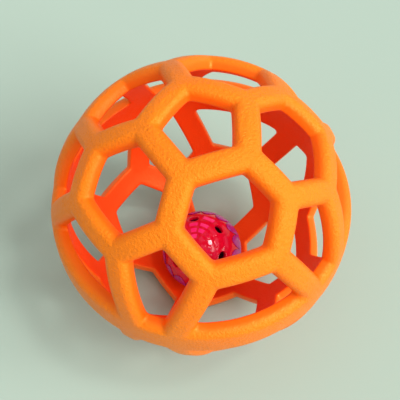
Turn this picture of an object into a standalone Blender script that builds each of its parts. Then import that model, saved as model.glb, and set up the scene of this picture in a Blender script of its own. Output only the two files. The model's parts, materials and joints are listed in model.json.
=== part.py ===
"""Open lattice rubber ball for dogs, with a two-colour bell ball loose inside it.

Metres, +Z up. The origin is on the floor under the middle of the ball.
"""

import math

import bmesh
import bpy
import numpy as np
from mathutils import Euler, Matrix, Vector

# Rubber cage
CAGE_RADIUS = 0.064
CAGE_WALL = 0.0062
STRUT_WIDTH = 0.0106
RIM_HEIGHT = 0.0089
OUTER_FILLET = 0.0034
INNER_FILLET = 0.0009
CORNER_RADIUS = 0.0018
FOOT_DEPTH = 0.0003
BOND_GAP = 0.0003

# Places of the strut junctions on each half, as angles from the pole and around it
SIDES = 5
POLAR_RING = math.radians(20.5)
MIDDLE_RING = math.radians(40.3)
OUTER_RING = math.radians(55.7)
OUTER_SPREAD = math.radians(20.7)
RIM_SPREAD = math.radians(5.9)

# Two-colour plastic ball inside the cage
BALL_RADIUS = 0.018
BALL_WALL = 0.0014
BALL_SEAM_GAP = 0.0003
BALL_SEAT_GAP = 0.0003
BALL_TILT = math.radians(20.5)
BALL_HEADING = math.radians(-119.0)
BALL_SPIN = math.radians(30.0)
SLOTS = 6
SLOT_ANGLE = math.radians(46.0)
SLOT_LENGTH = 0.0046
SLOT_WIDTH = 0.0036

# Scalloped skirt of the purple half, which laps over the red one
SKIRT_GAP = 0.0003
SKIRT_WALL = 0.0008
SKIRT_ANGLE = math.radians(26.0)
LEDGE_HEIGHT = 0.0012
LEDGE_DROP = 0.0006
PETALS = 16
PETAL_ROOT = 0.0012
PETAL_FLAT = 0.0012

# Metal jingle bell inside the plastic ball
BELL_RADIUS = 0.0085
BELL_WALL = 0.0006
BELL_CRIMP_REACH = 0.0006
BELL_CRIMP_HEIGHT = 0.0006
BELL_SEAM_GAP = 0.0003
BELL_SEAT_GAP = 0.0003
SOUND_SLOT_REACH = 0.0062
SOUND_SLOT_WIDTH = 0.0013
SOUND_HOLE_RADIUS = 0.0012
PELLET_RADIUS = 0.0024
PELLET_SEAT_GAP = 0.0003

# Wire loop of the jingle bell
WIRE_RADIUS = 0.0005
LOOP_RADIUS = 0.0024
LEG_SPACING = 0.0016
WIRE_BEND = 0.0008
WIRE_GAP = 0.0003
FOOT_ANGLE = math.radians(30.0)

# Fineness of the faceted surfaces
STRUT_STEP = math.radians(24.0)
OUTER_FILLET_STEPS = 3
INNER_FILLET_STEPS = 1
CORNER_SHARE = 0.2
CORNER_MOST = 0.35
BALL_STEPS = 48
BALL_ARC_STEPS = 8
BELL_STEPS = 24
BELL_ARC_STEPS = 6
SKIRT_STEPS = 4
PETAL_STEPS = 5
ROUND_END_STEPS = 4
PELLET_STEPS = 16
LOOP_STEPS = 16
BEND_STEPS = 3
WELD = 1e-6
SHARP_ANGLE = math.radians(40.0)

# Colours, roughness and metallic value of each material
ORANGE_RUBBER = ("orange_rubber", (0.93, 0.22, 0.02), 0.55, 0.0)
RED_PLASTIC = ("red_plastic", (0.72, 0.01, 0.06), 0.18, 0.0)
PURPLE_PLASTIC = ("purple_plastic", (0.27, 0.03, 0.30), 0.20, 0.0)
BELL_METAL = ("bell_metal", (0.80, 0.78, 0.74), 0.25, 1.0)
PELLET_STEEL = ("pellet_steel", (0.55, 0.55, 0.56), 0.30, 1.0)


def clear_scene():
    """Removes every object of the startup scene."""
    for obj in list(bpy.data.objects):
        bpy.data.objects.remove(obj, do_unlink=True)


def material(name, colour, roughness, metallic):
    """Returns the Principled material of this name, made on first use."""
    if name in bpy.data.materials:
        return bpy.data.materials[name]
    made = bpy.data.materials.new(name)
    made.use_nodes = True
    shader = made.node_tree.nodes["Principled BSDF"]
    shader.inputs["Base Color"].default_value = (*colour, 1.0)
    shader.inputs["Roughness"].default_value = roughness
    shader.inputs["Metallic"].default_value = metallic
    made.diffuse_color = (*colour, 1.0)
    return made


def add_object(name, data, look=None, parent=None):
    """Links an object for this data, with its material and its parent."""
    obj = bpy.data.objects.new(name, data)
    bpy.context.scene.collection.objects.link(obj)
    if look is not None and not data.materials:
        data.materials.append(material(*look))
    if parent is not None:
        obj.parent = parent
    return obj


def mesh_from(name, shape):
    """Turns a bmesh into a smooth mesh that keeps its sharp edges, and frees the bmesh."""
    bmesh.ops.remove_doubles(shape, verts=shape.verts[:], dist=WELD)
    bmesh.ops.recalc_face_normals(shape, faces=shape.faces[:])
    mesh = bpy.data.meshes.new(name)
    shape.to_mesh(mesh)
    shape.free()
    mesh.shade_smooth()
    mesh.set_sharp_from_angle(angle=SHARP_ANGLE)
    return mesh


def add_empty(name, location):
    """Links an empty that carries the pieces of one moving body."""
    empty = add_object(name, None)
    empty.location = location
    return empty


def unit(vector):
    """Returns the vector at length one."""
    return vector / np.linalg.norm(vector)


def on_sphere(ring, around):
    """Returns the unit vector at this angle from the pole and around it."""
    flat = math.sin(ring)
    return np.array([flat * math.cos(around), flat * math.sin(around), math.cos(ring)])


def junctions():
    """Returns the strut junctions of one half on the unit sphere, by kind and place."""
    equator = math.pi / 2
    places = {}
    for k in range(SIDES):
        around = math.pi * (2 * k - 1) / SIDES
        places["polar", k] = on_sphere(POLAR_RING, around)
        places["middle", k] = on_sphere(MIDDLE_RING, around)
        places["outer_left", k] = on_sphere(OUTER_RING, around - OUTER_SPREAD)
        places["outer_right", k] = on_sphere(OUTER_RING, around + OUTER_SPREAD)
        places["rim_left", k] = on_sphere(equator, around - RIM_SPREAD)
        places["rim_right", k] = on_sphere(equator, around + RIM_SPREAD)
    return places


def windows():
    """Returns each window of one half as the junctions around it."""
    found = [[("polar", k) for k in range(SIDES)]]
    for k in range(SIDES):
        j = (k + 1) % SIDES
        found.append(
            [
                ("polar", k),
                ("middle", k),
                ("outer_right", k),
                ("outer_left", j),
                ("middle", j),
                ("polar", j),
            ]
        )
        found.append(
            [("middle", k), ("outer_left", k), ("rim_left", k), ("rim_right", k), ("outer_right", k)]
        )
        found.append([("outer_right", k), ("rim_right", k), ("rim_left", j), ("outer_left", j)])
    return found


def section_levels():
    """Returns the strut section as (strut inset, rim inset, radius, corner radius), outside to inside.

    The first and last rows are the strut's middle line, where windows meet, and have no corner radius.
    """
    half = STRUT_WIDTH / 2
    inner_radius = CAGE_RADIUS - CAGE_WALL
    rows = [(0.0, BOND_GAP / 2, CAGE_RADIUS, None)]
    for i in range(OUTER_FILLET_STEPS + 1):
        turn = math.pi / 2 * i / OUTER_FILLET_STEPS
        back = OUTER_FILLET * (1 - math.sin(turn))
        drop = OUTER_FILLET * (1 - math.cos(turn))
        rows.append((half - back, RIM_HEIGHT - back, CAGE_RADIUS - drop, CORNER_RADIUS))
    for i in range(INNER_FILLET_STEPS + 1):
        turn = math.pi / 2 * i / INNER_FILLET_STEPS
        back = INNER_FILLET * (1 - math.cos(turn))
        rise = INNER_FILLET * (1 - math.sin(turn))
        rows.append((half - back, RIM_HEIGHT - back, inner_radius + rise, CORNER_RADIUS))
    rows.append((0.0, BOND_GAP / 2, inner_radius, None))
    return rows


def crossing(first, inset_1, second, inset_2, radius, near):
    """Returns the point of this radius at both insets from two strut planes, on the side of near."""
    lean = first @ second
    share_1 = (inset_1 - lean * inset_2) / (1 - lean * lean)
    share_2 = (inset_2 - lean * inset_1) / (1 - lean * lean)
    foot = share_1 * first + share_2 * second
    along = unit(np.cross(first, second))
    along = along if along @ near > 0 else -along
    return foot + math.sqrt(radius * radius - foot @ foot) * along


def along_edge(start, end, share, plane, inset, radius):
    """Returns the point at this share of an edge that runs at one inset from its strut plane."""
    mixed = start * (1 - share) + end * share
    mixed = mixed - (mixed @ plane) * plane
    return unit(mixed) * math.sqrt(radius * radius - inset * inset) + inset * plane


def window_loop(corners, on_rim, level):
    """Returns one closed loop of points around a window, and where each edge starts in it."""
    strut_inset, rim_inset, radius, corner_radius = level
    count = len(corners)
    planes = [unit(np.cross(corners[q], corners[(q + 1) % count])) for q in range(count)]
    insets = [rim_inset if on_rim[q] else strut_inset for q in range(count)]
    tips = [
        crossing(planes[q - 1], insets[q - 1], planes[q], insets[q], radius, corners[q])
        for q in range(count)
    ]
    points = []
    starts = []
    for q in range(count):
        tip, ahead, behind = tips[q], tips[(q + 1) % count], tips[q - 1]
        length = np.linalg.norm(ahead - tip)
        starts.append(len(points))
        if corner_radius is None:
            points.append(tip)
            near, far = CORNER_SHARE, 1 - CORNER_SHARE
        else:
            middle, run = rounded_corner(tip, ahead, behind, corner_radius)
            _, far_run = rounded_corner(ahead, tips[(q + 2) % count], tip, corner_radius)
            points.append(unit(middle) * radius)
            near, far = run / length, 1 - far_run / length
        arc = math.acos(np.clip(corners[q] @ corners[(q + 1) % count], -1, 1))
        pieces = 2 * max(1, round(arc / STRUT_STEP))
        for i in range(pieces + 1):
            share = near + (far - near) * i / pieces
            points.append(along_edge(tip, ahead, share, planes[q], insets[q], radius))
    return points, starts


def rounded_corner(tip, ahead, behind, corner_radius):
    """Returns the middle of a corner's arc, and how far along its edges the arc reaches."""
    forward, backward = ahead - tip, behind - tip
    shortest = min(np.linalg.norm(forward), np.linalg.norm(backward))
    forward, backward = unit(forward), unit(backward)
    half_angle = math.acos(np.clip(forward @ backward, -1, 1)) / 2
    run = min(corner_radius / math.tan(half_angle), CORNER_MOST * shortest)
    reach = run * math.tan(half_angle) * (1 / math.sin(half_angle) - 1)
    return tip + unit(forward + backward) * reach, run


def cage_half_shape():
    """Returns one half of the cage about its centre, with its pole up, before its feet are cut flat."""
    shape = bmesh.new()
    places = junctions()
    levels = section_levels()
    for window in windows():
        corners = [places[key] for key in window]
        if np.cross(corners[0], corners[1]) @ sum(corners) < 0:
            window = window[::-1]
            corners = corners[::-1]
        count = len(window)
        on_rim = [
            window[q][0].startswith("rim") and window[(q + 1) % count][0].startswith("rim")
            for q in range(count)
        ]
        rings = []
        for level in levels:
            points, starts = window_loop(corners, on_rim, level)
            rings.append([shape.verts.new(point) for point in points])
        size = len(rings[0])
        for outer, inner in zip(rings, rings[1:]):
            for i in range(size):
                j = (i + 1) % size
                shape.faces.new((outer[i], outer[j], inner[j], inner[i]))
        for q in range(count):
            if on_rim[q]:
                last = starts[q + 1] if q + 1 < count else size
                for i in range(starts[q], last):
                    j = (i + 1) % size
                    shape.faces.new((rings[-1][i], rings[-1][j], rings[0][j], rings[0][i]))
    bmesh.ops.remove_doubles(shape, verts=shape.verts[:], dist=WELD)
    bmesh.ops.recalc_face_normals(shape, faces=shape.faces[:])
    return shape


def cut_feet(shape):
    """Cuts small flats on the struts of the polar window, and returns their height over the centre."""
    height = max(vertex.co.z for vertex in shape.verts) - FOOT_DEPTH
    everything = shape.verts[:] + shape.edges[:] + shape.faces[:]
    cut = bmesh.ops.bisect_plane(
        shape, geom=everything, dist=WELD, plane_co=(0, 0, height), plane_no=(0, 0, 1), clear_outer=True
    )
    edges = [item for item in cut["geom_cut"] if isinstance(item, bmesh.types.BMEdge)]
    bmesh.ops.edgenet_fill(shape, edges=edges)
    return height


def seat_depth(shape):
    """Returns how far under the cage's centre the plastic ball rests on the polar window."""
    reach = BALL_RADIUS + BALL_SEAT_GAP
    rests = []
    for vertex in shape.verts:
        off_axis = math.hypot(vertex.co.x, vertex.co.y)
        if vertex.co.z > 0 and off_axis < reach:
            rests.append(vertex.co.z - math.sqrt(reach * reach - off_axis * off_axis))
    return min(rests)


def turned(name, profile, steps):
    """Returns the mesh of a profile of (radius, height) points turned once about the Z axis."""
    shape = bmesh.new()
    verts = [shape.verts.new((radius, 0.0, height)) for radius, height in profile]
    edges = [shape.edges.new(pair) for pair in zip(verts, verts[1:])]
    bmesh.ops.spin(
        shape,
        geom=verts + edges,
        cent=(0, 0, 0),
        axis=(0, 0, 1),
        angle=2 * math.pi,
        steps=steps,
        use_merge=True,
    )
    return mesh_from(name, shape)


def shell_profile(radius, wall, seam_gap, lip_reach, lip_height, arc_steps):
    """Returns the profile of a half shell over the seam, from the outer pole round to the inner pole."""
    base = seam_gap / 2
    profile = []
    first = math.asin((base + lip_height) / radius)
    for i in range(arc_steps + 1):
        up = math.pi / 2 + (first - math.pi / 2) * i / arc_steps
        profile.append((radius * math.cos(up), radius * math.sin(up)))
    profile[0] = (0.0, radius)
    if lip_reach > 0:
        profile.append((radius + lip_reach, base + lip_height))
        profile.append((radius + lip_reach, base))
    else:
        profile.append((math.sqrt(radius * radius - base * base), base))
    inner = radius - wall
    first = math.asin(base / inner)
    for i in range(arc_steps + 1):
        up = first + (math.pi / 2 - first) * i / arc_steps
        profile.append((inner * math.cos(up), inner * math.sin(up)))
    profile[-1] = (0.0, inner)
    return profile


def oblong(length, width):
    """Returns the outline of an oblong with round ends along X, about the origin."""
    radius = width / 2
    straight = length / 2 - radius
    outline = []
    for side in (0, 1):
        for i in range(ROUND_END_STEPS + 1):
            turn = math.pi * (side - 0.5 + i / ROUND_END_STEPS)
            centre = straight if side == 0 else -straight
            outline.append((centre + radius * math.cos(turn), radius * math.sin(turn)))
    return outline


def circle(radius, steps):
    """Returns the outline of a circle about the origin."""
    turns = [2 * math.pi * i / steps for i in range(steps)]
    return [(radius * math.cos(turn), radius * math.sin(turn)) for turn in turns]


def add_prism(shape, outline, bottom, top, place):
    """Adds an extruded outline to a bmesh, put in place by a matrix."""
    low = [shape.verts.new(place @ Vector((x, y, bottom))) for x, y in outline]
    face = shape.faces.new(low)
    raised = bmesh.ops.extrude_face_region(shape, geom=[face])
    verts = [item for item in raised["geom"] if isinstance(item, bmesh.types.BMVert)]
    shift = place.to_3x3() @ Vector((0, 0, top - bottom))
    bmesh.ops.translate(shape, verts=verts, vec=shift)


def cut(obj, name, shape):
    """Cuts the prisms of a bmesh out of an object that shares its frame."""
    cutter = add_object(name, mesh_from(name, shape), parent=obj.parent)
    cutter.matrix_basis = obj.matrix_basis
    cutter.hide_render = True
    cutter.display_type = "WIRE"
    boolean = obj.modifiers.new(name, "BOOLEAN")
    boolean.operation = "DIFFERENCE"
    boolean.solver = "EXACT"
    boolean.object = cutter


def add_cage(centre_height, half_mesh):
    """Adds the two halves of the rubber cage: one moulding, and the same one turned over."""
    for name, turn in (("cage_upper_half", 0.0), ("cage_lower_half", math.pi)):
        half = add_object(name, half_mesh, ORANGE_RUBBER)
        half.location = (0, 0, centre_height)
        half.rotation_euler = Euler((turn, 0, 0))


def slot_cutters():
    """Returns oblong prisms in a ring around a half shell's pole, each pointing out from the centre.

    The ring is turned by half a facet, so that no prism is centred on an edge of the shell.
    """
    shape = bmesh.new()
    outline = oblong(SLOT_LENGTH, SLOT_WIDTH)
    for i in range(SLOTS):
        around = math.pi / BALL_STEPS + 2 * math.pi * i / SLOTS
        place = (
            Matrix.Rotation(around, 4, "Z")
            @ Matrix.Rotation(SLOT_ANGLE, 4, "Y")
            @ Matrix.Rotation(math.pi / 2, 4, "Z")
        )
        add_prism(shape, outline, BALL_RADIUS - 2 * BALL_WALL, BALL_RADIUS + BALL_WALL, place)
    return shape


def skirted_profile():
    """Returns the purple half's profile: a half shell with a ledge, and a skirt past its seam."""
    base = BALL_SEAM_GAP / 2
    inner = BALL_RADIUS - BALL_WALL
    skirt_inner = BALL_RADIUS + SKIRT_GAP
    skirt_outer = skirt_inner + SKIRT_WALL
    arcs = (
        (BALL_RADIUS, math.pi / 2, math.asin(LEDGE_HEIGHT / BALL_RADIUS), BALL_ARC_STEPS),
        (skirt_outer, math.asin((LEDGE_HEIGHT - LEDGE_DROP) / skirt_outer), -SKIRT_ANGLE, SKIRT_STEPS),
        (skirt_inner, -SKIRT_ANGLE, math.asin(base / skirt_inner), SKIRT_STEPS),
        (inner, math.asin(base / inner), math.pi / 2, BALL_ARC_STEPS),
    )
    profile = []
    for radius, first, last, steps in arcs:
        for i in range(steps + 1):
            up = first + (last - first) * i / steps
            profile.append((radius * math.cos(up), radius * math.sin(up)))
    profile[0] = (0.0, BALL_RADIUS)
    profile[-1] = (0.0, inner)
    return profile


def petal_gap():
    """Returns the outline of the gap between two petals, closed past the skirt's edge."""
    reach = BALL_RADIUS + SKIRT_GAP + SKIRT_WALL
    half_pitch = math.pi * reach / PETALS
    depth = reach * math.sin(SKIRT_ANGLE) - PETAL_ROOT
    sides = []
    for i in range(PETAL_STEPS + 1):
        off = half_pitch + (PETAL_FLAT / 2 - half_pitch) * i / PETAL_STEPS
        height = -PETAL_ROOT - depth * math.sqrt(1 - (off / half_pitch) ** 2)
        sides.append((half_pitch - off, height))
    bottom = -PETAL_ROOT - 2 * depth
    widest = sides[-1][0]
    left = [(-x, y) for x, y in reversed(sides[1:])]
    return [(-widest, bottom), (widest, bottom)] + sides[::-1] + left[::-1]


def petal_cutters():
    """Returns the gaps between the petals of the skirt, turned by half a facet as the slots are."""
    shape = bmesh.new()
    outline = petal_gap()
    for i in range(PETALS):
        around = math.pi / BALL_STEPS + 2 * math.pi * i / PETALS
        place = (
            Matrix.Rotation(around, 4, "Z")
            @ Matrix.Rotation(math.pi / 2, 4, "Y")
            @ Matrix.Rotation(math.pi / 2, 4, "Z")
        )
        add_prism(shape, outline, BALL_RADIUS - 2 * BALL_WALL, BALL_RADIUS + 2 * BALL_WALL, place)
    return shape


def add_bell_ball(centre):
    """Adds the plastic ball's two half shells under one empty at its centre."""
    frame = add_empty("bell_ball_frame", centre)
    frame.rotation_euler = (
        Matrix.Rotation(BALL_HEADING, 3, "Z")
        @ Matrix.Rotation(BALL_TILT, 3, "Y")
        @ Matrix.Rotation(BALL_SPIN, 3, "Z")
    ).to_euler()
    plain = shell_profile(BALL_RADIUS, BALL_WALL, BALL_SEAM_GAP, 0.0, LEDGE_HEIGHT, BALL_ARC_STEPS)
    red = add_object(
        "bell_ball_red_half", turned("bell_ball_red_half", plain, BALL_STEPS), RED_PLASTIC, frame
    )
    cut(red, "red_slots", slot_cutters())
    purple_mesh = turned("bell_ball_purple_half", skirted_profile(), BALL_STEPS)
    purple = add_object("bell_ball_purple_half", purple_mesh, PURPLE_PLASTIC, frame)
    purple.rotation_euler = Euler((math.pi, 0, 0))
    cut(purple, "purple_slots", slot_cutters())
    cut(purple, "petal_gaps", petal_cutters())
    return frame


def loop_route():
    """Returns the wire's middle line in the bell's XZ plane, from one foot over the loop to the other."""
    leg = LEG_SPACING / 2
    foot_radius = BELL_RADIUS - BELL_WALL - WIRE_GAP - WIRE_RADIUS
    bend_x = leg + WIRE_BEND
    bend_base = math.sqrt(foot_radius * foot_radius - bend_x * bend_x)
    inner_angle = math.asin(bend_x / foot_radius)
    right = []
    for i in range(BEND_STEPS):
        angle = FOOT_ANGLE + (inner_angle - FOOT_ANGLE) * i / BEND_STEPS
        right.append((foot_radius * math.sin(angle), foot_radius * math.cos(angle)))
    for i in range(BEND_STEPS + 1):
        turn = math.pi * (1.5 - 0.5 * i / BEND_STEPS)
        right.append(
            (
                bend_x + WIRE_BEND * math.cos(turn),
                bend_base + WIRE_BEND + WIRE_BEND * math.sin(turn),
            )
        )
    opening = math.asin(leg / LOOP_RADIUS)
    eye = BELL_RADIUS + WIRE_GAP + WIRE_RADIUS + LOOP_RADIUS * math.cos(opening)
    for i in range(LOOP_STEPS // 2):
        turn = -math.pi / 2 + opening + (math.pi - opening) * i / (LOOP_STEPS // 2)
        right.append((LOOP_RADIUS * math.cos(turn), eye + LOOP_RADIUS * math.sin(turn)))
    left = [(-x, z) for x, z in reversed(right)]
    return right + [(0.0, eye + LOOP_RADIUS)] + left


def add_loop(frame, drop):
    """Adds the bent wire loop of the jingle bell."""
    curve = bpy.data.curves.new("jingle_bell_loop", "CURVE")
    curve.dimensions = "3D"
    curve.bevel_depth = WIRE_RADIUS
    curve.bevel_resolution = 2
    curve.use_fill_caps = True
    route = loop_route()
    spline = curve.splines.new("POLY")
    spline.points.add(len(route) - 1)
    for point, (x, z) in zip(spline.points, route):
        point.co = (x, 0.0, z, 1.0)
    loop = add_object("jingle_bell_loop", curve, BELL_METAL, frame)
    loop.location = (0, 0, -drop)


def add_jingle_bell(ball_frame):
    """Adds the metal bell's cups and loop under an empty at the plastic ball's centre."""
    frame = add_empty("jingle_bell_frame", ball_frame.location)
    drop = BALL_RADIUS - BALL_WALL - BELL_RADIUS - BELL_SEAT_GAP
    profile = shell_profile(
        BELL_RADIUS, BELL_WALL, BELL_SEAM_GAP, BELL_CRIMP_REACH, BELL_CRIMP_HEIGHT, BELL_ARC_STEPS
    )
    upper = add_object(
        "jingle_bell_upper_cup", turned("jingle_bell_upper_cup", profile, BELL_STEPS), BELL_METAL, frame
    )
    upper.location = (0, 0, -drop)
    cut_base = BELL_SEAM_GAP + BELL_CRIMP_HEIGHT
    cut_top = BELL_RADIUS + BELL_WALL
    hole = bmesh.new()
    hole_width = 2 * (WIRE_RADIUS + WIRE_GAP)
    add_prism(hole, oblong(LEG_SPACING + hole_width, hole_width), cut_base, cut_top, Matrix())
    cut(upper, "loop_hole", hole)
    lower = add_object(
        "jingle_bell_lower_cup", turned("jingle_bell_lower_cup", profile, BELL_STEPS), BELL_METAL, frame
    )
    lower.location = (0, 0, -drop)
    lower.rotation_euler = Euler((math.pi, 0, 0))
    holes = bmesh.new()
    for i in range(2):
        turn = Matrix.Rotation(math.pi / 2 * i, 4, "Z")
        slot = bmesh.new()
        outline = oblong(2 * SOUND_SLOT_REACH, SOUND_SLOT_WIDTH)
        add_prism(slot, outline, cut_base, cut_top, turn)
        cut(lower, f"sound_slot_{i}", slot)
        for side in (-1, 1):
            place = turn @ Matrix.Translation((side * SOUND_SLOT_REACH, 0, 0))
            outline = circle(SOUND_HOLE_RADIUS, 2 * ROUND_END_STEPS)
            add_prism(holes, outline, cut_base, cut_top, place)
    cut(lower, "sound_holes", holes)
    add_loop(frame, drop)
    return drop


def add_pellet(centre):
    """Adds the loose pellet under an empty at the jingle bell's centre."""
    frame = add_empty("pellet_frame", centre)
    shape = bmesh.new()
    bmesh.ops.create_uvsphere(
        shape, u_segments=PELLET_STEPS, v_segments=PELLET_STEPS // 2, radius=PELLET_RADIUS
    )
    pellet = add_object("jingle_bell_pellet", mesh_from("jingle_bell_pellet", shape), PELLET_STEEL, frame)
    pellet.location = (0, 0, -(BELL_RADIUS - BELL_WALL - PELLET_RADIUS - PELLET_SEAT_GAP))


def main():
    """Builds the whole toy at rest."""
    clear_scene()
    half = cage_half_shape()
    depth = seat_depth(half)
    centre_height = cut_feet(half)
    add_cage(centre_height, mesh_from("cage_half", half))
    ball_frame = add_bell_ball(Vector((0, 0, centre_height - depth)))
    drop = add_jingle_bell(ball_frame)
    add_pellet(ball_frame.location - Vector((0, 0, drop)))
    print(f"cage centre {centre_height:.6f} m up, plastic ball {depth:.6f} m under it")
    print(f"jingle bell {drop:.6f} m under the plastic ball's centre")


main()
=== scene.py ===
"""Dresses an open lattice rubber ball for dogs, with a two-colour bell ball loose inside it.

Every length is in metres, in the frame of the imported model. The cage and the bell ball are surfaces
worked out as whole numpy grids; the metal bell inside is made of smooth copies of its solids.
"""

from __future__ import annotations

import json
import logging
from dataclasses import dataclass, field
from enum import Enum
from math import acos, asin, cos, pi, radians, sin, sqrt, tan
from typing import Any

import bmesh
import bpy
import numpy as np
from bpy.types import Material, Mesh, Node, NodeSocket, Object, World
from mathutils import Matrix, Vector
from numpy.typing import NDArray


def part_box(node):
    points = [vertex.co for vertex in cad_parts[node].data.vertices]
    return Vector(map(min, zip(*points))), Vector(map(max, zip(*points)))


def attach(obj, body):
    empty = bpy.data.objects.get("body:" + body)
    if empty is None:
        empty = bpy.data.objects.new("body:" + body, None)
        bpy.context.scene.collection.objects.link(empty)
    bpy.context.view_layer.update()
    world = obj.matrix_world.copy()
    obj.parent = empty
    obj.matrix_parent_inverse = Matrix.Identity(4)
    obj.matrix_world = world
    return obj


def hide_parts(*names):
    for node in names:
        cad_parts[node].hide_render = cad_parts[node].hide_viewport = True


Array = NDArray[np.float64]
Index = NDArray[np.int64]
Colour = tuple[float, float, float]
Profile = list[tuple[Any, Any]]
Junction = tuple[str, int]

LOG = logging.getLogger("bell_ball")
WELD = 1e-6
SHARP_ANGLE = radians(50.0)
TINY = 1e-9

# Range that most of a noise's values lie in
NOISE_RANGE = (0.3, 0.7)

# Numbers of the colour sockets of a Mix node
MIX_SHARE = 0
MIX_FIRST = 6
MIX_SECOND = 7
MIX_RESULT = 2


class Half(Enum):
    """The two halves of a shell, each with the turn about X that brings it from pole up to its place."""

    UPPER = 0.0
    LOWER = pi


def unit(vectors: Array) -> Array:
    """Returns vectors of the last axis at length one."""
    return vectors / np.linalg.norm(vectors, axis=-1, keepdims=True)


def around_axis(across: Any, height: Any, around: Any) -> Array:
    """Returns points at distances from the Z axis, at heights and at angles around it."""
    across, height, around = np.broadcast_arrays(across, height, around)
    return np.stack([across * np.cos(around), across * np.sin(around), height], axis=-1)


def on_sphere(ring: Any, around: Any) -> Array:
    """Returns unit vectors at angles from the pole, which is +Z, and at angles from +X around it."""
    return around_axis(np.sin(ring), np.cos(ring), around)


def quarter_circle(radius: float, count: int) -> tuple[Array, Array]:
    """Returns how far a quarter circle's points lie from its last tangent and from its first one."""
    turn = np.linspace(0, pi / 2, count)
    return radius * (1 - np.sin(turn)), radius * (1 - np.cos(turn))


def smooth_step(values: Array) -> Array:
    """Returns 0 below 0, 1 above 1, and the cubic 3t^2 - 2t^3 between."""
    held = np.clip(values, 0.0, 1.0)
    return held * held * (3.0 - 2.0 * held)


def as_piece(mesh: Mesh, material: Material) -> Object:
    """Welds a mesh, shades it smooth between its sharp edges and links it at the origin.

    Args:
        mesh: mesh with its place in its points.
        material: finish of the whole piece.

    Returns:
        The linked object, which has the mesh's name.
    """
    shape = bmesh.new()
    shape.from_mesh(mesh)
    bmesh.ops.remove_doubles(shape, verts=shape.verts[:], dist=WELD)
    shape.to_mesh(mesh)
    shape.free()
    mesh.validate()
    mesh.shade_smooth()
    mesh.set_sharp_from_angle(angle=SHARP_ANGLE)
    mesh.materials.append(material)
    made = bpy.data.objects.new(mesh.name, mesh)
    bpy.context.scene.collection.objects.link(made)
    return made


@dataclass
class Surface:
    """Grids of points that together make one welded mesh.

    Attributes:
        name: name of the piece.
        tag_name: name of the value that each point carries for the material.
        points: one array of points for each grid.
        quads: one array of corner numbers for each grid.
        tags: one array of values for each grid.
    """

    name: str
    tag_name: str
    points: list[Array] = field(default_factory=list)
    quads: list[Index] = field(default_factory=list)
    tags: list[Array] = field(default_factory=list)

    def add_grid(self, grid: Array, tag: Any, closed: bool = False, flip: bool = False) -> None:
        """Adds a grid whose quads join each point to the next column and the next row.

        Args:
            grid: points as rows x columns x 3.
            tag: one value for all points, or an array that broadcasts to rows x columns.
            closed: whether the last column joins on to the first.
            flip: whether the faces point to the other side.
        """
        rows, columns = grid.shape[:2]
        start = sum(len(block) for block in self.points)
        number = start + np.arange(rows * columns).reshape(rows, columns)
        ahead = np.roll(number, -1, axis=1)
        if not closed:
            number, ahead = number[:, :-1], ahead[:, :-1]
        corners = [number[:-1], ahead[:-1], ahead[1:], number[1:]]
        if flip:
            corners.reverse()
        self.points.append(grid.reshape(-1, 3))
        self.quads.append(np.stack(corners, axis=-1).reshape(-1, 4))
        self.tags.append(np.broadcast_to(np.asarray(tag, float), (rows, columns)).ravel())

    def make(self, place: Matrix, material: Material) -> Object:
        """Puts the grids in place as one smooth mesh with shared borders welded.

        Args:
            place: matrix from the grids' own frame to the frame of the model.
            material: finish of the whole piece.

        Returns:
            The linked object, at the origin and unturned.
        """
        turn = np.array(place.to_3x3())
        points = np.concatenate(self.points) @ turn.T + np.array(place.translation)
        quads = np.concatenate(self.quads)
        mesh = bpy.data.meshes.new(self.name)
        mesh.vertices.add(len(points))
        mesh.vertices.foreach_set("co", points.astype(np.float32).ravel())
        mesh.loops.add(quads.size)
        mesh.loops.foreach_set("vertex_index", quads.astype(np.int32).ravel())
        mesh.polygons.add(len(quads))
        mesh.polygons.foreach_set("loop_start", np.arange(0, quads.size, 4, dtype=np.int32))
        mesh.update(calc_edges=True)
        tag = mesh.attributes.new(self.tag_name, "FLOAT", "POINT")
        tag.data.foreach_set("value", np.concatenate(self.tags).astype(np.float32))
        return as_piece(mesh, material)


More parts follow.
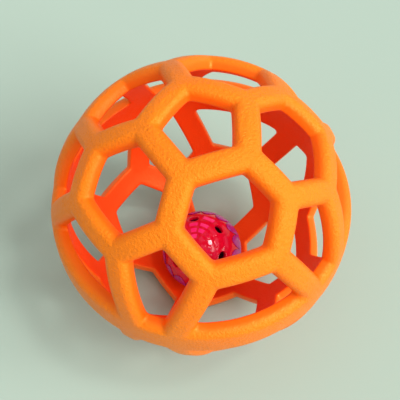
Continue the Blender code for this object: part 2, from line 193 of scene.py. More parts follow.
@dataclass
class ShaderGraph:
    """Node tree of one material or of the world, with short calls that add nodes and join them."""

    owner: Material | World

    def __post_init__(self) -> None:
        """Gives the owner its node tree, with only its shader and its output."""
        self.owner.use_nodes = True

    def add(self, kind: str, sockets: dict[Any, Any], **settings: Any) -> Node:
        """Adds one node.

        Args:
            kind: type of the node, without the ShaderNode prefix.
            sockets: what fill puts on its inputs.
            settings: values of the node's own properties.

        Returns:
            The new node.
        """
        node = self.owner.node_tree.nodes.new("ShaderNode" + kind)
        for name, value in settings.items():
            setattr(node, name, value)
        self.fill(node, sockets)
        return node

    def fill(self, node: Node, sockets: dict[Any, Any]) -> None:
        """Sets the inputs of a node to values, or joins them to outputs.

        Args:
            node: the node.
            sockets: value, or output to join, for each input by name or number.
        """
        for name, value in sockets.items():
            if isinstance(value, NodeSocket):
                self.owner.node_tree.links.new(value, node.inputs[name])
            else:
                node.inputs[name].default_value = value

    def noise(self, scale: float, detail: float = 2.0, roughness: float = 0.5) -> NodeSocket:
        """Adds a noise over Object coordinates.

        Args:
            scale: about how many features it has to the metre.
            detail: how many finer layers it has.
            roughness: how strong the finer layers are.

        Returns:
            The noise's value.
        """
        place = self.add("TexCoord", {}).outputs["Object"]
        sockets = {"Vector": place, "Scale": scale, "Detail": detail, "Roughness": roughness}
        return self.add("TexNoise", sockets).outputs["Fac"]

    def tag(self, name: str) -> NodeSocket:
        """Returns the value that the mesh carries under this name."""
        return self.add("Attribute", {}, attribute_name=name).outputs["Fac"]

    def spread(
        self, value: NodeSocket, low: float, high: float, source: tuple[float, float] = NOISE_RANGE
    ) -> NodeSocket:
        """Returns a value mapped from its own range, a noise's if none is given, on to low to high."""
        sockets = {"From Min": source[0], "From Max": source[1], "To Min": low, "To Max": high}
        return self.add("MapRange", {"Value": value, **sockets}).outputs["Result"]

    def blend(self, share: NodeSocket, first: Any, second: Any) -> NodeSocket:
        """Mixes two colours.

        Args:
            share: output that gives the second colour's share.
            first: first colour, or an output that gives it.
            second: second colour, or an output that gives it.

        Returns:
            The mixed colour.
        """
        node = self.add("Mix", {MIX_SHARE: share}, data_type="RGBA")
        for number, value in ((MIX_FIRST, first), (MIX_SECOND, second)):
            ready = value if isinstance(value, NodeSocket) else (*value, 1.0)
            self.fill(node, {number: ready})
        return node.outputs[MIX_RESULT]

    def bump(self, height: Any, depth: float, strength: Any, below: Any = None) -> NodeSocket:
        """Returns a normal bumped by a height.

        Args:
            height: output that gives the height from 0 to 1.
            depth: real depth of the height, in metres.
            strength: how strong the bump is, as a value or an output.
            below: normal that the bump is laid over, if there is one.

        Returns:
            The normal output.
        """
        sockets = {"Height": height, "Distance": depth, "Strength": strength}
        if below is not None:
            sockets["Normal"] = below
        return self.add("Bump", sockets).outputs["Normal"]

    def done(self, sockets: dict[Any, Any]) -> Material:
        """Returns the material, with these values or outputs on its Principled shader."""
        self.fill(self.owner.node_tree.nodes["Principled BSDF"], sockets)
        return self.owner


@dataclass(frozen=True)
class RubberFinish:
    """Soft moulded rubber, finely pebbled outside and smoother inside; painted shade reddens its
    shoulders, walls and inner faces.
    """

    name: str = "orange_rubber"
    outer_colour: Colour = (1.0, 0.212, 0.001)
    outer_mottle: Colour = (1.0, 0.190, 0.001)
    # Painted shade: a deeper red that stands in for the shade on the shoulders, walls and inner faces;
    # the rubber itself is one colour
    painted_shade_colour: Colour = (1.0, 0.055, 0.001)
    sheen_tint: Colour = (1.0, 0.75, 0.20)
    grain_per_metre: float = 1900.0
    pebble_per_metre: float = 850.0
    mottle_per_metre: float = 45.0
    grain_depth: float = 0.00045
    inner_grain: float = 0.2
    smooth: float = 0.36
    rough: float = 0.48
    ior: float = 1.5
    specular: float = 1.0
    tag_name: str = "outward"

    def make(self) -> Material:
        """Builds the shader of the rubber.

        Returns:
            The material.
        """
        graph = ShaderGraph(bpy.data.materials.new(self.name))
        outward = graph.tag(self.tag_name)
        mottle = graph.spread(graph.noise(self.mottle_per_metre, detail=3.0), 0.0, 1.0)
        outer = graph.blend(mottle, self.outer_colour, self.outer_mottle)
        grain = graph.noise(self.grain_per_metre, detail=3.0, roughness=0.6)
        pebble = graph.noise(self.pebble_per_metre, detail=1.0)
        # Painted shade: the outward value blends from the outer colour on the ridge down to the deeper
        # red on walls and inner faces
        share = graph.spread(outward, 0.0, 1.0, source=(-1.0, 1.0))
        strength = graph.spread(outward, self.inner_grain, 1.0, source=(0.0, 1.0))
        coarse = graph.bump(pebble, self.grain_depth, strength)
        return graph.done(
            {
                "Base Color": graph.blend(share, self.painted_shade_colour, outer),
                "Roughness": graph.spread(pebble, self.smooth, self.rough),
                "Normal": graph.bump(grain, self.grain_depth, strength, coarse),
                "IOR": self.ior,
                "Specular IOR Level": self.specular,
                "Specular Tint": (*self.sheen_tint, 1.0),
            }
        )


@dataclass(frozen=True)
class PlasticFinish:
    """Glossy moulded plastic with faint flow marks and scuffs, and a pink painted highlight on its
    raised bricks.
    """

    name: str
    colour: Colour
    deep_colour: Colour
    # Pink painted highlight for the bricks, standing in for light that glows through them and shines off
    # them
    painted_highlight_colour: Colour
    flow_per_metre: float = 110.0
    scuff_per_metre: float = 1500.0
    scuff_depth: float = 0.00003
    scuff_strength: float = 0.25
    smooth: float = 0.08
    rough: float = 0.14
    ior: float = 1.5
    specular: float = 0.32
    tag_name: str = "brick"

    def make(self) -> Material:
        """Builds the shader of the plastic.

        Returns:
            The material.
        """
        graph = ShaderGraph(bpy.data.materials.new(self.name))
        flow = graph.spread(graph.noise(self.flow_per_metre), 0.0, 1.0)
        body = graph.blend(flow, self.colour, self.deep_colour)
        scuff = graph.noise(self.scuff_per_metre, detail=3.0)
        return graph.done(
            {
                # The brick value is the share of the painted highlight at each point
                "Base Color": graph.blend(graph.tag(self.tag_name), body, self.painted_highlight_colour),
                "Roughness": graph.spread(scuff, self.smooth, self.rough),
                "Normal": graph.bump(scuff, self.scuff_depth, self.scuff_strength),
                "IOR": self.ior,
                "Specular IOR Level": self.specular,
            }
        )


@dataclass(frozen=True)
class MetalFinish:
    """Plated or ground metal with cloudy gloss and fine marks."""

    name: str
    colour: Colour
    dull_colour: Colour
    smooth: float
    rough: float
    cloud_per_metre: float = 260.0
    marks_per_metre: float = 3200.0
    marks_depth: float = 0.00002
    marks_strength: float = 0.2

    def make(self) -> Material:
        """Builds the shader of the metal.

        Returns:
            The material.
        """
        graph = ShaderGraph(bpy.data.materials.new(self.name))
        cloud = graph.noise(self.cloud_per_metre, detail=3.0)
        marks = graph.noise(self.marks_per_metre)
        share = graph.spread(cloud, 0.0, 1.0)
        return graph.done(
            {
                "Base Color": graph.blend(share, self.colour, self.dull_colour),
                "Metallic": 1.0,
                "Roughness": graph.spread(cloud, self.smooth, self.rough),
                "Normal": graph.bump(marks, self.marks_depth, self.marks_strength),
            }
        )


@dataclass(frozen=True)
class FloorFinish:
    """Pale matte board under the ball."""

    name: str = "pale_floor"
    colour: Colour = (0.385, 0.490, 0.408)
    light_colour: Colour = (0.395, 0.500, 0.418)
    patches_per_metre: float = 6.0
    roughness: float = 0.75
    specular: float = 0.2

    def make(self) -> Material:
        """Builds the shader of the floor.

        Returns:
            The material.
        """
        graph = ShaderGraph(bpy.data.materials.new(self.name))
        share = graph.spread(graph.noise(self.patches_per_metre), 0.0, 1.0)
        return graph.done(
            {
                "Base Color": graph.blend(share, self.colour, self.light_colour),
                "Roughness": self.roughness,
                "Specular IOR Level": self.specular,
            }
        )


@dataclass(frozen=True)
class SectionRow:
    """One line of a strut's section.

    Attributes:
        strut_inset: distance from the strut's middle plane.
        rim_inset: distance from the parting plane, along the equator.
        radius: distance from the ball's centre.
        corner_radius: radius of the window's corners at this line, or None on the strut's middle line.
        outward: 1 on the outer face, 0 on the walls and -1 on the inner face.
    """

    strut_inset: float
    rim_inset: float
    radius: float
    corner_radius: float | None
    outward: float


@dataclass
class RubberCage:
    """Two identical rubber halves of struts around windows, joined along the equator.

    Each half has a five-sided window at its pole, five six-sided ones around it, and five five-sided
    and five four-sided ones that stand on the equator band.
    """

    radius: float = 0.064
    wall: float = 0.0062
    strut_width: float = 0.0106
    rim_height: float = 0.0089
    outer_fillet: float = 0.0034
    inner_fillet: float = 0.0009
    corner_radius: float = 0.0018
    sides: int = 5
    polar_ring: float = radians(20.5)
    middle_ring: float = radians(40.3)
    outer_ring: float = radians(55.7)
    outer_spread: float = radians(20.7)
    rim_spread: float = radians(5.9)
    corner_share: float = 0.2
    corner_most: float = 0.35
    corner_steps: int = 6
    edge_step: float = radians(2.6)
    edge_least: int = 4
    face_rows: int = 4
    outer_points: int = 9
    inner_points: int = 4
    finish: RubberFinish = RubberFinish()

    def junctions(self) -> dict[Junction, Array]:
        """Works out the places where struts meet on one half, ring by ring from the pole.

        Returns:
            Unit vectors by kind and number.
        """
        equator = pi / 2
        places = {}
        for k in range(self.sides):
            around = pi * (2 * k - 1) / self.sides
            places["polar", k] = on_sphere(self.polar_ring, around)
            places["middle", k] = on_sphere(self.middle_ring, around)
            for side, sign in (("left", -1), ("right", 1)):
                outer = around + sign * self.outer_spread
                places["outer_" + side, k] = on_sphere(self.outer_ring, outer)
                places["rim_" + side, k] = on_sphere(equator, around + sign * self.rim_spread)
        return places

    def windows(self) -> list[list[Junction]]:
        """Lists the windows of one half.

        Returns:
            The junctions around each window, one way or the other.
        """
        found = [[("polar", k) for k in range(self.sides)]]
        for k in range(self.sides):
            j = (k + 1) % self.sides
            near = [("polar", k), ("middle", k), ("outer_right", k)]
            far = [("outer_left", j), ("middle", j), ("polar", j)]
            upright = [("outer_left", k), ("rim_left", k), ("rim_right", k), ("outer_right", k)]
            between = [("outer_left", j), ("rim_left", j), ("rim_right", k), ("outer_right", k)]
            found += [near + far, [("middle", k)] + upright, between]
        return found

    def flank(self, back: float, radius: float, outward: float) -> SectionRow:
        """Returns the line of the section that lies this far back from the strut's wall."""
        half = self.strut_width / 2
        return SectionRow(half - back, self.rim_height - back, radius, self.corner_radius, outward)

    def section(self) -> list[SectionRow]:
        """Works out the strut's section from the outer middle line to the inner one.

        The outer shoulder is a quarter circle of outer_fillet, the inner one of inner_fillet.

        Returns:
            The lines of the section.
        """
        inner = self.radius - self.wall
        rows = [SectionRow(0.0, 0.0, self.radius, None, 1.0)]
        for back, drop in zip(*quarter_circle(self.outer_fillet, self.outer_points)):
            rows.append(self.flank(back, self.radius - drop, 1 - drop / self.outer_fillet))
        for rise, back in zip(*quarter_circle(self.inner_fillet, self.inner_points)):
            rows.append(self.flank(back, inner + rise, rise / self.inner_fillet - 1))
        rows.append(SectionRow(0.0, 0.0, inner, None, -1.0))
        return rows

    @staticmethod
    def crossing(
        first: Array, second: Array, insets: tuple[float, float], radius: float, near: Array
    ) -> Array:
        """Returns the point of a sphere that lies at given distances from two planes through its centre.

        Args:
            first: normal of the first plane.
            second: normal of the second plane.
            insets: distance from each plane.
            radius: radius of the sphere.
            near: direction that picks one of the two such points.

        Returns:
            The point.
        """
        lean = first @ second
        one, two = insets
        shares = np.array([one - lean * two, two - lean * one]) / (1 - lean * lean)
        foot = shares[0] * first + shares[1] * second
        along = unit(np.cross(first, second))
        along = along * np.sign(along @ near)
        return foot + sqrt(radius * radius - foot @ foot) * along

    @staticmethod
    def along_edge(
        start: Array, end: Array, shares: Array, plane: Array, inset: float, radius: float
    ) -> Array:
        """Returns points of an edge that runs at one distance from its strut's plane, on a sphere.

        Args:
            start: first end of the edge.
            end: last end of the edge.
            shares: how far along the edge each point is, from 0 to 1.
            plane: normal of the strut's middle plane.
            inset: distance of the edge from that plane.
            radius: radius of the sphere.

        Returns:
            One point for each share.
        """
        mixed = start + shares[:, None] * (end - start)
        mixed = mixed - (mixed @ plane)[:, None] * plane
        return unit(mixed) * sqrt(radius * radius - inset * inset) + inset * plane

    def corner_arc(
        self, behind: Array, tip: Array, ahead: Array, corner_radius: float
    ) -> tuple[Array, float]:
        """Returns the round corner of a window as an arc that touches both of its edges.

        Args:
            behind: corner before this one.
            tip: sharp corner that is rounded.
            ahead: corner after this one.
            corner_radius: radius that is asked for; short edges lower it.

        Returns:
            The arc's points from the edge behind to the edge ahead, and its reach along both edges.
        """
        forward, backward = ahead - tip, behind - tip
        shortest = min(np.linalg.norm(forward), np.linalg.norm(backward))
        forward, backward = unit(forward), unit(backward)
        half_angle = acos(np.clip(forward @ backward, -1, 1)) / 2
        run = min(corner_radius / tan(half_angle), self.corner_most * shortest)
        radius = run * tan(half_angle)
        centre = tip + unit(forward + backward) * radius / sin(half_angle)
        first = tip + backward * run - centre
        last = tip + forward * run - centre
        sweep = pi - 2 * half_angle
        share = np.linspace(0, 1, self.corner_steps + 1)[:, None]
        arc = (np.sin((1 - share) * sweep) * first + np.sin(share * sweep) * last) / sin(sweep)
        return centre + arc, run

    def loop(self, corners: Array, on_rim: list[bool], row: SectionRow) -> tuple[Array, list[int]]:
        """Returns one line of the section carried round a window, corner arc by corner arc.

        Args:
            corners: junctions around the window, as unit vectors.
            on_rim: whether the edge after each corner lies on the equator.
            row: the line of the section.

        Returns:
            The closed loop of points, and the number of the point at the middle of each corner.
        """
        count = len(corners)
        planes = unit(np.cross(corners, np.roll(corners, -1, axis=0)))
        insets = [row.rim_inset if on_rim[q] else row.strut_inset for q in range(count)]
        tips = [
            self.crossing(planes[q - 1], planes[q], (insets[q - 1], insets[q]), row.radius, corners[q])
            for q in range(count)
        ]
        arcs = []
        runs = []
        for q in range(count):
            ahead = tips[(q + 1) % count]
            if row.corner_radius is None:
                shares = self.corner_share * np.linspace(0, 1, self.corner_steps // 2 + 1)
                after = self.along_edge(tips[q], ahead, shares, planes[q], insets[q], row.radius)
                before = self.along_edge(
                    tips[q], tips[q - 1], shares[:0:-1], planes[q - 1], insets[q - 1], row.radius
                )
                arcs.append(np.concatenate([before, after]))
                runs.append(None)
            else:
                arc, run = self.corner_arc(tips[q - 1], tips[q], ahead, row.corner_radius)
                arcs.append(unit(arc) * row.radius)
                runs.append(run)
        points = []
        middles = []
        length = 0
        for q in range(count):
            j = (q + 1) % count
            near = far = self.corner_share
            if runs[q] is not None:
                edge = np.linalg.norm(tips[j] - tips[q])
                near, far = runs[q] / edge, runs[j] / edge
            sweep = acos(np.clip(corners[q] @ corners[j], -1, 1))
            pieces = max(self.edge_least, round(sweep / self.edge_step))
            shares = np.linspace(near, 1 - far, pieces + 1)[1:-1]
            middles.append(length + self.corner_steps // 2)
            points.append(arcs[q])
            points.append(self.along_edge(tips[q], tips[j], shares, planes[q], insets[q], row.radius))
            length += self.corner_steps + pieces
        return np.concatenate(points), middles

    def spread_face(self, middle: Array, shoulder: Array) -> Array:
        """Lays rows on the sphere between a strut's middle line and its shoulder.

        Each row is the straight mix of the two lines, pushed out to their radius.

        Args:
            middle: points of the middle line.
            shoulder: points of the shoulder.

        Returns:
            The rows from the middle line on, without the shoulder.
        """
        shares = np.linspace(0, 1, self.face_rows + 1)[:-1, None, None]
        mixed = middle + shares * (shoulder - middle)
        return unit(mixed) * np.linalg.norm(middle[0])

    def add_window(self, surface: Surface, corners: Array, on_rim: list[bool]) -> None:
        """Adds the struts' surface around one window, and its share of the seam.

        The section's lines, carried round the window, are the rows of one closed grid.

        Args:
            surface: half of the cage that is being made.
            corners: junctions around the window, as unit vectors.
            on_rim: whether the edge after each corner lies on the equator.
        """
        section = self.section()
        loops = [self.loop(corners, on_rim, row) for row in section]
        rings = [ring for ring, _ in loops]
        outer = self.spread_face(rings[0], rings[1])
        inner = self.spread_face(rings[-1], rings[-2])[::-1]
        grid = np.concatenate([outer, np.stack(rings[1:-1]), inner])
        tags = [1.0] * len(outer) + [row.outward for row in section[1:-1]] + [-1.0] * len(inner)
        surface.add_grid(grid, np.array(tags)[:, None], closed=True)
        middles = loops[0][1]
        ends = middles[1:] + [middles[0] + len(rings[0])]
        for first, last, seamed in zip(middles, ends, on_rim):
            if seamed:
                numbers = np.arange(first, last + 1) % len(rings[0])
                seam = np.stack([rings[0][numbers], rings[-1][numbers]])
                surface.add_grid(seam, np.array([[1.0], [-1.0]]), flip=True)

    def make(self, half: Half, centre: float, material: Material) -> Object:
        """Builds one half of the cage, with flats where its pole can rest on the floor.

        Args:
            half: which half.
            centre: height of the ball's centre over the floor.
            material: finish of the rubber.

        Returns:
            The half as an object.
        """
        surface = Surface(f"rubber_cage_{half.name.lower()}", self.finish.tag_name)
        places = self.junctions()
        for window in self.windows():
            corners = np.stack([places[key] for key in window])
            if np.cross(corners[0], corners[1]) @ corners.sum(axis=0) < 0:
                window = window[::-1]
                corners = corners[::-1]
            rim = np.array([kind.startswith("rim") for kind, _ in window])
            self.add_window(surface, corners, (rim & np.roll(rim, -1)).tolist())
        for block in surface.points:
            np.minimum(block[:, 2], centre, out=block[:, 2])
        place = Matrix.Translation((0, 0, centre)) @ Matrix.Rotation(half.value, 4, "X")
        return surface.make(place, material)

    def dress(self) -> list[Object]:
        """Builds both halves in place of their solids.

        Returns:
            The halves.
        """
        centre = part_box("cage_upper_half")[1].z / 2
        material = self.finish.make()
        made = []
        for half in Half:
            piece = self.make(half, centre, material)
            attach(piece, "cage")
            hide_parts(f"cage_{half.name.lower()}_half")
            made.append(piece)
        return made


@dataclass(frozen=True)
class HoleRing:
    """A ring of oblong holes with round ends around a half shell's pole.

    Attributes:
        ring: angle of the holes' middles from the pole.
        top: angle from the pole at which their band starts.
        bottom: angle from the pole at which it ends.
        length: length of a hole, around the pole.
        width: width of a hole, which is also its ends' diameter.
    """

    ring: float
    top: float
    bottom: float
    length: float
    width: float

    def reach(self, across: Array, along: Array, grow: float) -> Array:
        """Returns how far the outline lies from the hole's middle in each direction.

        The outline is a straight run with round ends: a ray leaves it through a straight side where
        it can, and through the half circle at the end otherwise.

        Args:
            across: direction's part along the hole's length.
            along: direction's part along its width.
            grow: how much larger the outline is all round.

        Returns:
            The distances, for directions of any length.
        """
        size = np.hypot(across, along)
        run, rise = np.abs(across) / size, np.abs(along) / size
        radius = self.width / 2 + grow
        straight = (self.length - self.width) / 2
        side = radius / np.maximum(rise, TINY)
        end = straight * run + np.sqrt(np.maximum(radius**2 - (straight * rise) ** 2, 0.0))
        return np.where(side * run <= straight, side, end)


@dataclass(frozen=True)
class BrickRing:
    """A ring of equal raised bricks around a half shell's pole.

    Attributes:
        ring: angle of the bricks' middles from the pole.
        half_height: half of a brick's height, as an angle from the pole.
        half_width: half of its width, as an angle around the pole.
        count: number of bricks.
        start: angle around the pole of the first brick.
    """

    ring: float
    half_height: float
    half_width: float
    count: int
    start: float = 0.0


@dataclass(frozen=True)
class HalfShell:
    """One hollow half of the plastic ball, about its centre with its pole up.

    Rings of raised bricks cover it, and a ring of round-ended slots lets the sound out. The purple half
    also has a ledge and a skirt of petals that laps over the red half.
    """

    name: str
    node: str
    slot: str
    finish: PlasticFinish
    skirted: bool = False
    radius: float = 0.018
    wall: float = 0.0014
    seam_gap: float = 0.00006
    edge_round: float = 0.00025
    edge_points: int = 4
    turn: float = pi / 48
    sectors: int = 12
    sector_steps: int = 20
    ring_steps: int = 16
    cap_rows: int = 76
    low_rows: int = 40
    rim_start: float = radians(86.0)
    brick_height: float = 0.00004
    brick_flatness: float = 0.85
    least_lean: float = 0.5
    brick_edge: float = 0.16
    # Painted highlight: the side around the pole where bricks turn pink, where it starts and where it is
    # full, and the faint share on every brick
    painted_highlight_side: float = radians(163.0)
    painted_highlight_from: float = 0.72
    painted_highlight_full: float = 0.92
    least_painted_highlight: float = 0.10
    brick_rings: tuple[BrickRing, ...] = (
        BrickRing(radians(12.5), radians(3.4), radians(20.0), 6),
        BrickRing(radians(22.5), radians(3.6), radians(12.2), 12),
        BrickRing(radians(33.2), radians(3.4), radians(12.5), 12),
        BrickRing(radians(49.5), radians(4.3), radians(12.5), 6, radians(30.0)),
    )
    slots: HoleRing = HoleRing(radians(46.0), radians(38.5), radians(54.5), 0.0046, 0.0036)
    outer_shares: tuple[float, ...] = (0.0, 0.35, 0.7)
    inner_shares: tuple[float, ...] = (1.0, 0.5, 0.0)
    skirt_gap: float = 0.0001
    skirt_wall: float = 0.0008
    skirt_tip: float = 0.0003
    skirt_angle: float = radians(26.0)
    skirt_rows: int = 10
    tip_points: int = 7
    ledge_height: float = 0.0012
    ledge_drop: float = 0.0006
    ledge_shares: tuple[float, ...] = (0.0, 0.33, 0.67)
    petals: int = 16
    petal_root: float = 0.0012

    @property
    def sector(self) -> float:
        """Angle of one sector around the pole."""
        return 2 * pi / self.sectors

    def bricks(self, ring: Array, around: Array) -> tuple[Array, Array]:
        """Returns the raised bricks of the outer face.

        A brick is a facet between the sphere and a flat plane at its middle, with edges that are
        smooth steps in the angle from the pole and the angle around it. Bricks on one side carry a
        pink painted highlight, which stands in for light glowing through them and shining off them.

        Args:
            ring: angles from the pole.
            around: angles around the pole.

        Returns:
            The height over the plain sphere, and the painted highlight's share from 0 to 1.
        """
        sphere = on_sphere(ring, around)
        height = painted_highlight = np.zeros(sphere.shape[:-1])
        for row in self.brick_rings:
            pitch = 2 * pi / row.count
            middle = row.start + np.round((around - row.start) / pitch) * pitch
            upright = smooth_step((1 - np.abs(ring - row.ring) / row.half_height) / self.brick_edge)
            sideways = smooth_step((1 - np.abs(around - middle) / row.half_width) / self.brick_edge)
            share = upright * sideways
            lean = np.sum(sphere * on_sphere(row.ring, middle), axis=-1)
            lift = 1 / np.maximum(lean, self.least_lean) - 1
            flat = self.brick_flatness * self.radius * lift
            height = np.maximum(height, share * (self.brick_height + flat))
            # Painted highlight: bricks nearest the chosen side turn pinkest, the rest keep a faint share
            beside = np.cos(middle - self.painted_highlight_side) - self.painted_highlight_from
            near = smooth_step(beside / (self.painted_highlight_full - self.painted_highlight_from))
            painted_highlight = np.maximum(painted_highlight, share * (self.least_painted_highlight + (1 - self.least_painted_highlight) * near))
        return height, painted_highlight

    def add_patch(self, surface: Surface, rings: Array, around: Array, closed: bool) -> None:
        """Adds the outer face with its bricks, and the inner face behind it, over a grid of angles.

        Args:
            surface: half shell that is being made.
            rings: angles from the pole, down the rows.
            around: angles around the pole, along the columns.
            closed: whether the columns go all the way round.
        """
        ring, turn = rings[:, None], around[None, :]
        height, painted_highlight = self.bricks(ring, turn)
        sphere = on_sphere(ring, turn)
        # The outer face carries the share of the painted highlight
        surface.add_grid(sphere * (self.radius + height)[..., None], painted_highlight, closed, True)
        surface.add_grid(sphere * (self.radius - self.wall), 0.0, closed)

    def add_slot(self, surface: Surface, middle: float) -> None:
        """Adds the wall around one slot, from its sector's border on the outside to that on the inside.

        Each row is the outline of the slot, or a mix of it with the border, at one radius: down the
        outer face to the slot, over a quarter circle, through the wall and back out on the inside.

        Args:
            surface: half shell that is being made.
            middle: angle around the pole of the slot's middle.
        """
        holes = self.slots
        half = self.sector / 2
        side = np.linspace(-half, half, self.sector_steps + 1)
        rise = np.linspace(holes.bottom, holes.top, self.ring_steps + 1)
        left, right = (np.full(self.ring_steps, angle) for angle in (-half, half))
        turn = np.concatenate([side[:-1], right, side[:0:-1], left])
        low, high = (np.full(self.sector_steps, angle) for angle in (holes.bottom, holes.top))
        ring = np.concatenate([low, rise[:-1], high, rise[:0:-1]])
        across = turn * self.radius * sin(holes.ring)
        along = (ring - holes.ring) * self.radius
        size = np.hypot(across, along)
        inner = self.radius - self.wall
        rows = [(share, self.edge_round, self.radius) for share in self.outer_shares]
        edge = quarter_circle(self.edge_round, self.edge_points)
        rows += [(1.0, grow, self.radius - drop) for grow, drop in zip(*edge)]
        rows += [(share, 0.0, inner) for share in self.inner_shares]
        grid = []
        for share, grow, radius in rows:
            scale = 1 - share + share * holes.reach(across, along, grow) / size
            flat_turn = middle + turn * scale
            flat_ring = holes.ring + (ring - holes.ring) * scale
            grid.append(on_sphere(flat_ring, flat_turn) * radius)
        surface.add_grid(np.stack(grid), 0.0, closed=True)

    def plain_edge(self) -> Profile:
        """Returns the profile of the red half's lower edge: a quarter circle into the seam."""
        above, back = quarter_circle(self.edge_round, self.edge_points)
        return list(zip(self.radius - back, self.seam_gap / 2 + above))

    def skirt(self, around: Array) -> Profile:
        """Returns the profile of the purple half's ledge and skirt, whose length follows the petals.

        A petal is half an ellipse: from its root at the gaps it reaches down by the root of one less
        the square of the way from its middle to the gap. The wall thins evenly down to its lower edge,
        which is a half circle.

        Args:
            around: angles around the pole.

        Returns:
            Rows of radius and height, each a number or an array over the angles.
        """
        inner = self.radius + self.skirt_gap
        outer = inner + self.skirt_wall
        edge = self.skirt_tip / 2
        pitch = 2 * pi / self.petals
        off = np.abs(around / pitch - np.floor(around / pitch) - 0.5) * 2
        depth = outer * sin(self.skirt_angle) - self.petal_root
        reach = self.petal_root + depth * np.sqrt(1 - np.minimum(off, 1.0) ** 2) - edge
        low = -np.arcsin(reach / (inner + self.skirt_tip))
        ledge = self.ledge_height - self.ledge_drop
        first = asin(ledge / outer)
        last = asin(self.seam_gap / 2 / inner)
        shoulder = sqrt(outer**2 - ledge**2)
        start = sqrt(self.radius**2 - self.ledge_height**2)
        rows: Profile = []
        for share in self.ledge_shares:
            height = self.ledge_height - share * self.ledge_drop
            rows.append((start + share * (shoulder - start), height))
        for share in np.linspace(0, 1, self.skirt_rows):
            up = first + share * (low - first)
            across = outer + share * (self.skirt_tip - self.skirt_wall)
            rows.append((across * np.cos(up), across * np.sin(up)))
        for turn in np.linspace(0, pi, self.tip_points)[1:-1]:
            out = inner + edge * (1 + cos(turn))
            down = edge * sin(turn)
            across = out * np.cos(low) + down * np.sin(low)
            rows.append((across, out * np.sin(low) - down * np.cos(low)))
        for share in np.linspace(0, 1, self.skirt_rows):
            up = low + share * (last - low)
            rows.append((inner * np.cos(up), inner * np.sin(up)))
        return rows

    def add_rim(self, surface: Surface, around: Array) -> None:
        """Adds the end of the outer face, the skirt if there is one, the seam and the inside's start.

        Its profile is a list of radii and heights, carried all the way round the pole.

        Args:
            surface: half shell that is being made.
            around: angles around the pole.
        """
        base = self.seam_gap / 2
        inner = self.radius - self.wall
        edge = self.edge_round
        first = self.rim_start
        rows: Profile = [(self.radius * sin(first), self.radius * cos(first))]
        rows += self.skirt(around) if self.skirted else self.plain_edge()
        rows += [(inner + edge, base), (inner, base + edge)]
        rows += [(inner * sin(first), inner * cos(first))]
        grid = np.stack([around_axis(across, height, around) for across, height in rows])
        surface.add_grid(grid, 0.0, closed=True, flip=True)

    def make(self, place: Matrix, material: Material) -> Object:
        """Builds the half shell band by band, from its cap to its seam.

        Args:
            place: matrix from the half's own frame to the frame of the model.
            material: finish of the plastic.

        Returns:
            The half shell as an object.
        """
        surface = Surface(self.name, self.finish.tag_name)
        steps = self.sectors * self.sector_steps
        around = np.arange(steps) * 2 * pi / steps
        self.add_patch(surface, np.linspace(0, self.slots.top, self.cap_rows + 1), around, True)
        rings = np.linspace(self.slots.top, self.slots.bottom, self.ring_steps + 1)
        columns = np.linspace(-self.sector / 2, self.sector / 2, self.sector_steps + 1)
        for k in range(self.sectors):
            if k % 2 == 0:
                self.add_slot(surface, k * self.sector)
            else:
                self.add_patch(surface, rings, columns + k * self.sector, False)
        rings = np.linspace(self.slots.bottom, self.rim_start, self.low_rows + 1)
        self.add_patch(surface, rings, around, True)
        self.add_rim(surface, around)
        return surface.make(place @ Matrix.Rotation(self.turn, 4, "Z"), material)


@dataclass
class BellBall:
    """The two-colour plastic ball that lies on the lower window of the cage, red half up and forward."""

    tilt: float = radians(20.5)
    heading: float = radians(-119.0)
    spin: float = radians(30.0)
    red: HalfShell = HalfShell(
        "bell_ball_red_shell",
        "bell_ball_red_half",
        "red_plastic",
        # The last colour of each plastic finish is the bricks' pink painted highlight
        PlasticFinish("red_plastic", (0.80, 0.002, 0.030), (0.64, 0.002, 0.026), (1.0, 0.022, 0.22)),
    )
    purple: HalfShell = HalfShell(
        "bell_ball_purple_shell",
        "bell_ball_purple_half",
        "purple_plastic",
        PlasticFinish("purple_plastic", (0.46, 0.020, 0.27), (0.40, 0.016, 0.24), (0.54, 0.030, 0.32)),
        skirted=True,
    )

    @staticmethod
    def centre() -> Vector:
        """Returns the ball's centre, which the joint of the bell inside it goes through."""
        joints = {joint["name"]: joint for joint in frame["joints"]}
        return Vector(joints["jingle_bell_roll"]["pos_m"])

    def dress(self) -> list[Object]:
        """Builds both half shells in place of their solids.

        Returns:
            The half shells.
        """
        place = (
            Matrix.Translation(self.centre())
            @ Matrix.Rotation(self.heading, 4, "Z")
            @ Matrix.Rotation(self.tilt, 4, "Y")
            @ Matrix.Rotation(self.spin, 4, "Z")
        )
        made = []
        for shell, half in ((self.red, Half.UPPER), (self.purple, Half.LOWER)):
            turn = Matrix.Rotation(half.value, 4, "X")
            piece = shell.make(place @ turn, shell.finish.make())
            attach(piece, "bell_ball")
            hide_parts(shell.node)
            made.append(piece)
        return made


@dataclass(frozen=True)
class BellPart:
    """One metal piece of the bell.

    Attributes:
        name: name of the piece.
        node: solid whose place it takes.
        body: body that it moves with.
        slot: its material slot.
    """

    name: str
    node: str
    body: str
    slot: str

    def make(self, material: Material) -> Object:
        """Copies the solid, whose own triangles are loose and flat, and shades the copy smooth.

        Args:
            material: finish of the metal.

        Returns:
            The copy.
        """
        solid = frame["nodes"][self.node].data
        points = np.empty((len(solid.vertices), 3), np.float32)
        solid.vertices.foreach_get("co", points.ravel())
        corners = np.empty((len(solid.polygons), 3), np.int32)
        solid.loops.foreach_get("vertex_index", corners.ravel())
        mesh = bpy.data.meshes.new(self.name)
        mesh.from_pydata(points, [], corners)
        piece = as_piece(mesh, material)
        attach(piece, self.body)
        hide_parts(self.node)
        return piece


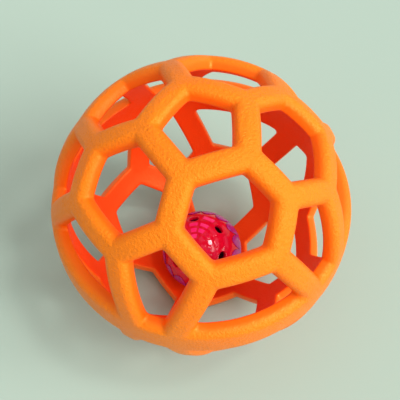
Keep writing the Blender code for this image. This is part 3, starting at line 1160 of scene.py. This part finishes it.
@dataclass
class JingleBell:
    """The metal bell inside the plastic ball, with its loose pellet."""

    plated: MetalFinish = MetalFinish("bell_metal", (0.80, 0.78, 0.73), (0.66, 0.63, 0.57), 0.12, 0.30)
    steel: MetalFinish = MetalFinish("pellet_steel", (0.56, 0.56, 0.57), (0.44, 0.43, 0.42), 0.20, 0.38)
    parts: tuple[BellPart, ...] = (
        BellPart("bell_upper_cup", "jingle_bell_upper_cup", "jingle_bell", "bell_metal"),
        BellPart("bell_lower_cup", "jingle_bell_lower_cup", "jingle_bell", "bell_metal"),
        BellPart("bell_loop", "jingle_bell_loop", "jingle_bell", "bell_metal"),
        BellPart("bell_pellet", "jingle_bell_pellet", "pellet", "pellet_steel"),
    )

    def dress(self) -> list[Object]:
        """Builds the bell's pieces in place of their solids, and returns them."""
        materials = {finish.name: finish.make() for finish in (self.plated, self.steel)}
        return [part.make(materials[part.slot]) for part in self.parts]


@dataclass(frozen=True)
class Lamp:
    """A round soft light so far off that it lights the floor evenly.

    Attributes:
        name: name of the lamp.
        heading: angle around the vertical from +X, seen from the ball.
        rise: angle over the level.
        spread: angle that it fills across, seen from the ball.
        strength: watts that fall on a square metre facing it.
    """

    name: str
    heading: float
    rise: float
    spread: float
    strength: float


@dataclass
class Studio:
    """Pale floor, soft light from the upper right, and the camera at the photograph's angle.

    The camera looks down at the ball from a distance given in ball radii, and its frame is placed so
    that the ball's centre falls on the stated pixel of a square picture.
    """

    image_side: float = 400.0
    sensor_mm: float = 36.0
    clip_start: float = 0.01
    focal_pixels: float = 829.0
    distance: float = 5.6
    elevation: float = radians(59.94)
    roll: float = radians(0.77)
    turn: float = radians(0.46)
    centre_pixel: tuple[float, float] = (201.15, 205.18)
    floor_half: float = 3.0
    floor_points: int = 3
    lamps: tuple[Lamp, ...] = (
        Lamp("key_light", radians(-26.0), radians(35.0), radians(45.0), 3.4),
        Lamp("spark_light", radians(-6.0), radians(65.0), radians(7.7), 0.44),
    )
    horizon_level: float = 0.45
    zenith_level: float = 0.75

    def add_camera(self, centre: Vector, radius: float) -> None:
        """Adds the camera.

        Args:
            centre: centre of the ball.
            radius: radius of the ball, the unit of the camera's distance.
        """
        down_sin, down_cos = sin(self.elevation), cos(self.elevation)
        ahead = Vector((0, down_cos, -down_sin))
        right = Vector((1, 0, 0))
        down = Vector((0, -down_sin, -down_cos))
        row_right = cos(self.roll) * right + sin(self.roll) * down
        row_down = -sin(self.roll) * right + cos(self.roll) * down
        middle = self.image_side / 2
        aside = (self.centre_pixel[0] - middle) * self.distance / self.focal_pixels
        below = (self.centre_pixel[1] - middle) * self.distance / self.focal_pixels
        offset = aside * row_right + below * row_down + self.distance * ahead
        axes = Matrix((row_right, -row_down, -ahead)).transposed().to_4x4()
        lens = bpy.data.cameras.new("photo_camera")
        lens.sensor_width = self.sensor_mm
        lens.lens = self.sensor_mm * self.focal_pixels / self.image_side
        lens.clip_start = self.clip_start
        camera = bpy.data.objects.new("photo_camera", lens)
        camera.matrix_world = (
            Matrix.Translation(centre)
            @ Matrix.Rotation(self.turn, 4, "Z")
            @ Matrix.Translation(-radius * offset)
            @ axes
        )
        bpy.context.scene.collection.objects.link(camera)
        bpy.context.scene.camera = camera

    def add_floor(self) -> Object:
        """Adds the floor, a flat square grid at height zero.

        Returns:
            The floor.
        """
        side = np.linspace(-self.floor_half, self.floor_half, self.floor_points)
        across, along = np.meshgrid(side, side)
        surface = Surface("floor", "floor")
        surface.add_grid(np.stack([across, along, np.zeros_like(across)], axis=-1), 0.0)
        return surface.make(Matrix(), FloorFinish().make())

    def add_lights(self) -> None:
        """Adds the lamps, and a sky that grows brighter from the horizon up."""
        for lamp in self.lamps:
            data = bpy.data.lights.new(lamp.name, "SUN")
            data.angle = lamp.spread
            data.energy = lamp.strength
            light = bpy.data.objects.new(lamp.name, data)
            away = Vector(on_sphere(pi / 2 - lamp.rise, lamp.heading))
            light.matrix_world = away.to_track_quat("Z", "Y").to_matrix().to_4x4()
            bpy.context.scene.collection.objects.link(light)
        world = bpy.data.worlds.new("studio")
        graph = ShaderGraph(world)
        towards = graph.add("TexCoord", {}).outputs["Generated"]
        height = graph.add("SeparateXYZ", {"Vector": towards}).outputs["Z"]
        level = graph.spread(height, self.horizon_level, self.zenith_level, source=(0.0, 1.0))
        sky = world.node_tree.nodes["Background"]
        graph.fill(sky, {"Color": (1.0, 1.0, 1.0, 1.0), "Strength": level})
        bpy.context.scene.world = world

    def make(self, centre: Vector, radius: float) -> None:
        """Sets up the whole stage around the ball.

        Args:
            centre: centre of the ball.
            radius: radius of the ball.
        """
        self.add_floor()
        self.add_lights()
        self.add_camera(centre, radius)
        bpy.context.scene.view_settings.view_transform = "Standard"


def main() -> None:
    """Builds the toy's pieces in order, reports each one's faces and sets the stage."""
    logging.basicConfig(level=logging.INFO, format="%(name)s: %(message)s")
    cage = RubberCage()
    for assembly in (cage, BellBall(), JingleBell()):
        for piece in assembly.dress():
            LOG.info("%s: %d faces", piece.name, len(piece.data.polygons))
    centre = Vector((0, 0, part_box("cage_upper_half")[1].z / 2))
    Studio().make(centre, cage.radius)


with open("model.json") as file:
    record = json.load(file)
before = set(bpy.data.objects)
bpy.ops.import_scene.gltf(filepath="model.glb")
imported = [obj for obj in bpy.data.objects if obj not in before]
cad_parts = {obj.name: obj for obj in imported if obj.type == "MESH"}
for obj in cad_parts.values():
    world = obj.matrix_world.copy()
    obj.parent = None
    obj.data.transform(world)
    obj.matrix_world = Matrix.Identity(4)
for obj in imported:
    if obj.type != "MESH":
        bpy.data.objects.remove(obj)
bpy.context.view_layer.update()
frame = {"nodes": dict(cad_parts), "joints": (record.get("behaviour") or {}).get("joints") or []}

if __name__ == "__main__":
    main()
